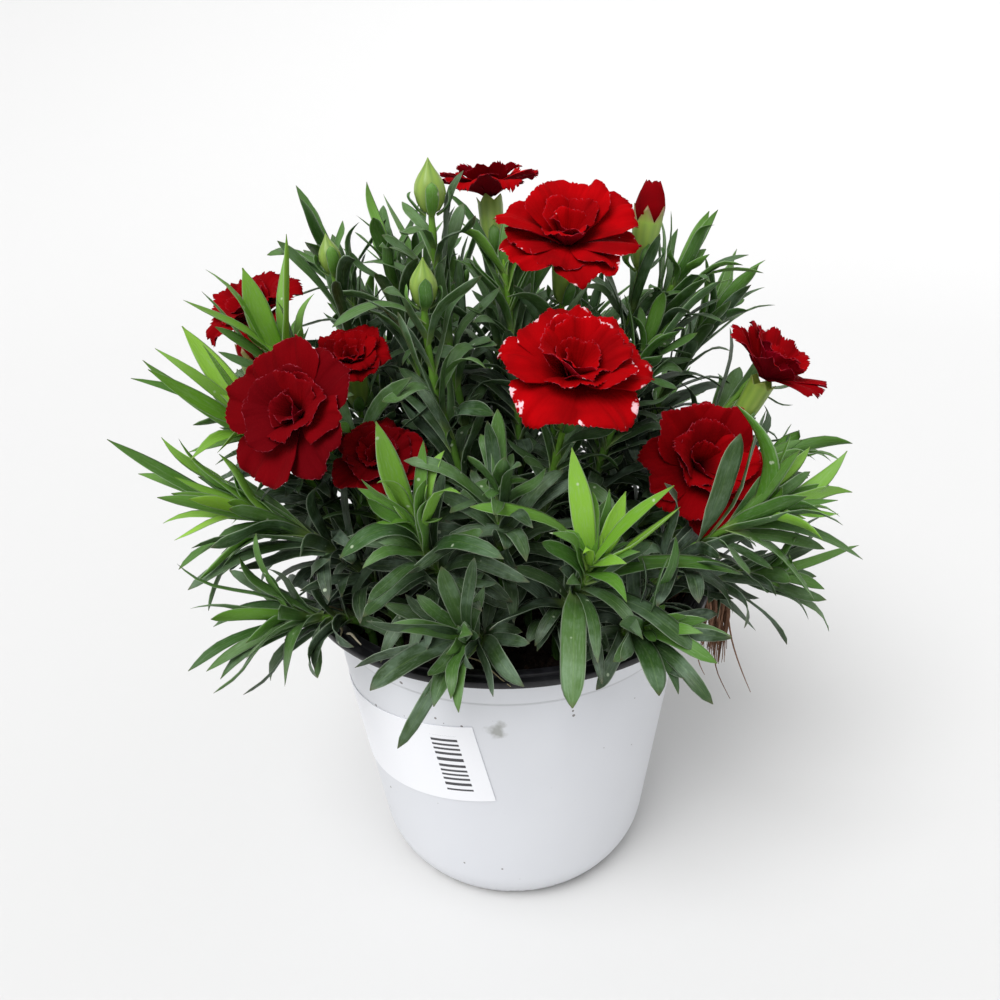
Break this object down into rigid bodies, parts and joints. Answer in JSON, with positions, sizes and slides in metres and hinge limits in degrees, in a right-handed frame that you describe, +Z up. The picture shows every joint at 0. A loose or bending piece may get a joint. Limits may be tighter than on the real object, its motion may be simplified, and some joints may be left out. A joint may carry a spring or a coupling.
{
  "type": "potted dianthus plant",
  "caption": "Bushy dianthus with red toothed blooms, buds and narrow pointed leaves, growing in a round white nursery pot of soil.",
  "frame": {"origin": "centre of the pot's underside, on the ground", "axes": "+Z up along the pot's axis, -Y towards the plant's front, +X to its right"},
  "size_m": [0.2177, 0.1924, 0.246],
  "materials": {
    "pot": "thin satin polypropylene, white outside and black inside and round the rim",
    "soil": "dark moist peat compost, crumbly",
    "roots": "dry brown root fibres",
    "label": "white coated paper sticker",
    "foliage": "waxy leaf, glaucous grey-green when old and bright green when young",
    "petal": "velvety crimson petal with pale flecks at the edge"
  },
  "bodies": {
    "root": {"pot": "pot", "soil": "soil", "root_tangle": "roots", "label": "label", "bloom_front": "foliage", "bloom_centre": "foliage", "bloom_rear": "foliage", "bloom_left_rear": "foliage", "bloom_left": "foliage", "bloom_left_inner": "foliage", "bloom_left_low": "foliage", "bloom_right_rear": "foliage", "bloom_right": "foliage", "bud_tall": "foliage", "bud_middle": "foliage", "bud_left": "foliage", "bud_right_red": "foliage", "bud_left_red": "foliage", "shoot_front": "foliage", "shoot_right_front": "foliage", "shoot_left_front": "foliage", "shoot_left_tuft": "foliage", "shoot_left_upper": "foliage", "shoot_left_top": "foliage", "shoot_centre_left": "foliage", "shoot_centre_tall": "foliage", "shoot_centre_back": "foliage", "shoot_right_top": "foliage", "shoot_right_inner": "foliage", "shoot_right_upper": "foliage", "shoot_right_edge": "foliage", "shoot_right_tuft": "foliage", "shoot_right_low": "foliage", "shoot_front_left": "foliage", "shoot_front_right": "foliage", "shoot_low_left": "foliage", "shoot_centre_front": "foliage", "shoot_fill_01": "foliage", "shoot_fill_02": "foliage", "shoot_fill_03": "foliage", "shoot_fill_04": "foliage", "shoot_fill_05": "foliage", "shoot_fill_06": "foliage", "shoot_fill_07": "foliage", "shoot_fill_08": "foliage", "shoot_fill_09": "foliage", "shoot_fill_10": "foliage", "petals_front": "petal", "petals_centre": "petal", "petals_rear": "petal", "petals_left_rear": "petal", "petals_left": "petal", "petals_left_inner": "petal", "petals_left_low": "petal", "petals_right_rear": "petal", "petals_right": "petal", "petals_right_red": "petal", "petals_left_red": "petal"}
  },
  "joints": []
}
